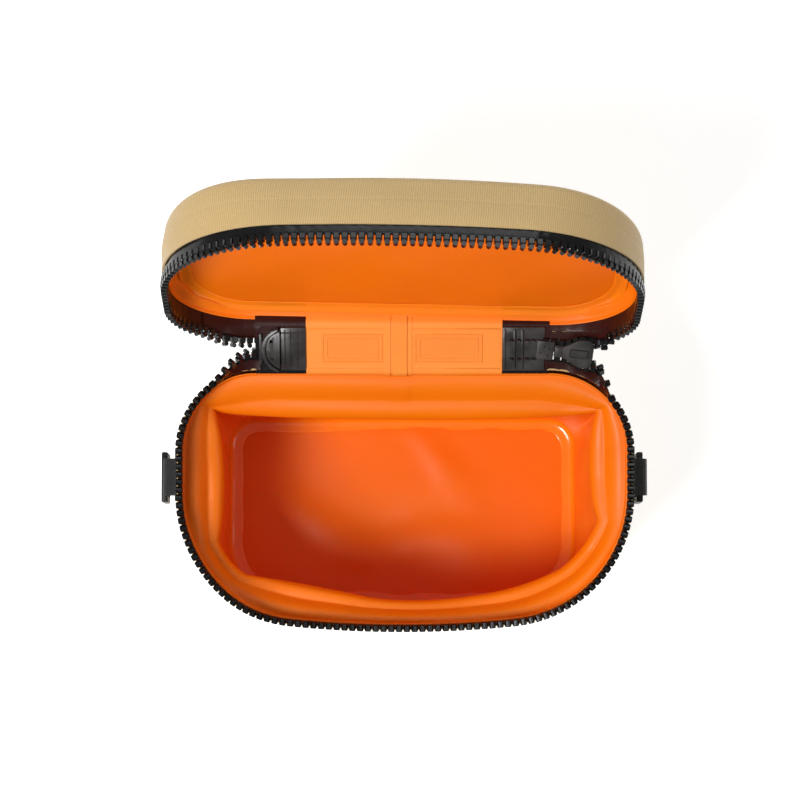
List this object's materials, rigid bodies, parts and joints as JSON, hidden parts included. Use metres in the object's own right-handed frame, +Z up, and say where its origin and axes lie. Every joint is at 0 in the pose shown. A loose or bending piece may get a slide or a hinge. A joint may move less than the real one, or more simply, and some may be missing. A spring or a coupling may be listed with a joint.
{
  "type": "camera bag",
  "caption": "Tapered soft camera bag with a rounded oblong plan, a zipped wedge-shaped lid hinged on a fabric strip at the back, and a strap ring on each side, standing open.",
  "frame": {"origin": "centre of the flat underside of the body", "axes": "+Z up, +Y to the back where the lid is hinged, -Y to the front, +X to the end that has the zip's slider"},
  "size_m": [0.2686, 0.2269, 0.2732],
  "materials": {
    "sand_fabric": "coated woven nylon, matt, fine twill",
    "orange_lining": "coated lining, half gloss",
    "seam_tape": "thin clear welded tape over the lining",
    "closed_cell_foam": "soft closed-cell foam",
    "zip_tape": "coated woven tape, half gloss",
    "zip_teeth": "moulded teeth",
    "coated_base_fabric": "heavy coated fabric",
    "black_webbing": "woven webbing",
    "ring_plastic": "moulded",
    "dock_plastic": "moulded soft plastic",
    "slider_plastic": "moulded",
    "pin_steel": "blackened pin",
    "grip_rubber": "moulded"
  },
  "bodies": {
    "body": {"body_shell": "sand_fabric", "base_panel": "coated_base_fabric", "base_foam": "closed_cell_foam", "wall_foam": "closed_cell_foam", "wall_lining": "orange_lining", "rim_lining": "orange_lining", "base_lining": "orange_lining", "base_seam_tape": "seam_tape", "body_zip_tape": "zip_tape", "body_zip_teeth": "zip_teeth", "left_loop_patch": "coated_base_fabric", "left_web_loop": "black_webbing", "right_loop_patch": "coated_base_fabric", "right_web_loop": "black_webbing"},
    "left_ring": {"left_strap_ring": "ring_plastic"},
    "right_ring": {"right_strap_ring": "ring_plastic"},
    "strip": {"hinge_web": "orange_lining", "hinge_outer_panel": "sand_fabric", "hinge_inner_panel": "orange_lining", "centre_seam_tape": "seam_tape", "hinge_patch_left": "seam_tape", "hinge_patch_right": "seam_tape", "zip_garage": "dock_plastic", "zip_end_dock": "dock_plastic", "zip_stop": "dock_plastic"},
    "slider": {"slider_body": "slider_plastic", "slider_pin": "pin_steel"},
    "puller": {"puller_core": "slider_plastic", "puller_grip": "grip_rubber"},
    "lid": {"lid_band": "sand_fabric", "lid_top_panel": "sand_fabric", "lid_foam": "closed_cell_foam", "lid_top_lining": "orange_lining", "lid_wall_lining": "orange_lining", "lid_seam_tape": "seam_tape", "lid_zip_tape": "zip_tape", "lid_zip_teeth": "zip_teeth"}
  },
  "joints": [
    {"name": "strip_fold", "type": "hinge", "parent": "body", "child": "strip", "pos_m": [0, 0.07008, 0.12129], "axis": [-1, 0, 0], "range_deg": [-69, 10]},
    {"name": "lid_fold", "type": "hinge", "parent": "strip", "child": "lid", "pos_m": [0, 0.09503, 0.134], "axis": [-0.9996, 0.0096, -0.0248], "range_deg": [-42.32, 6.14]},
    {"name": "slider_travel", "type": "slide", "parent": "strip", "child": "slider", "axis": [0.9945, -0.0931, -0.0475], "range_m": [0, 0.008]},
    {"name": "puller_swing", "type": "hinge", "parent": "slider", "child": "puller", "pos_m": [0.09291, 0.0849, 0.11941], "axis": [0.1045, 0.8861, 0.4515], "range_deg": [-80, 80]},
    {"name": "left_ring_swing", "type": "hinge", "parent": "body", "child": "left_ring", "pos_m": [-0.1302, 0.014, 0.1], "axis": [0, 1, 0], "range_deg": [-5, 150]},
    {"name": "right_ring_swing", "type": "hinge", "parent": "body", "child": "right_ring", "pos_m": [0.1302, 0.014, 0.1], "axis": [0, -1, 0], "range_deg": [-5, 150]}
  ],
  "couplings": [
    {"joint": "lid_fold", "follows": "strip_fold", "ratio": 0.61324}
  ]
}
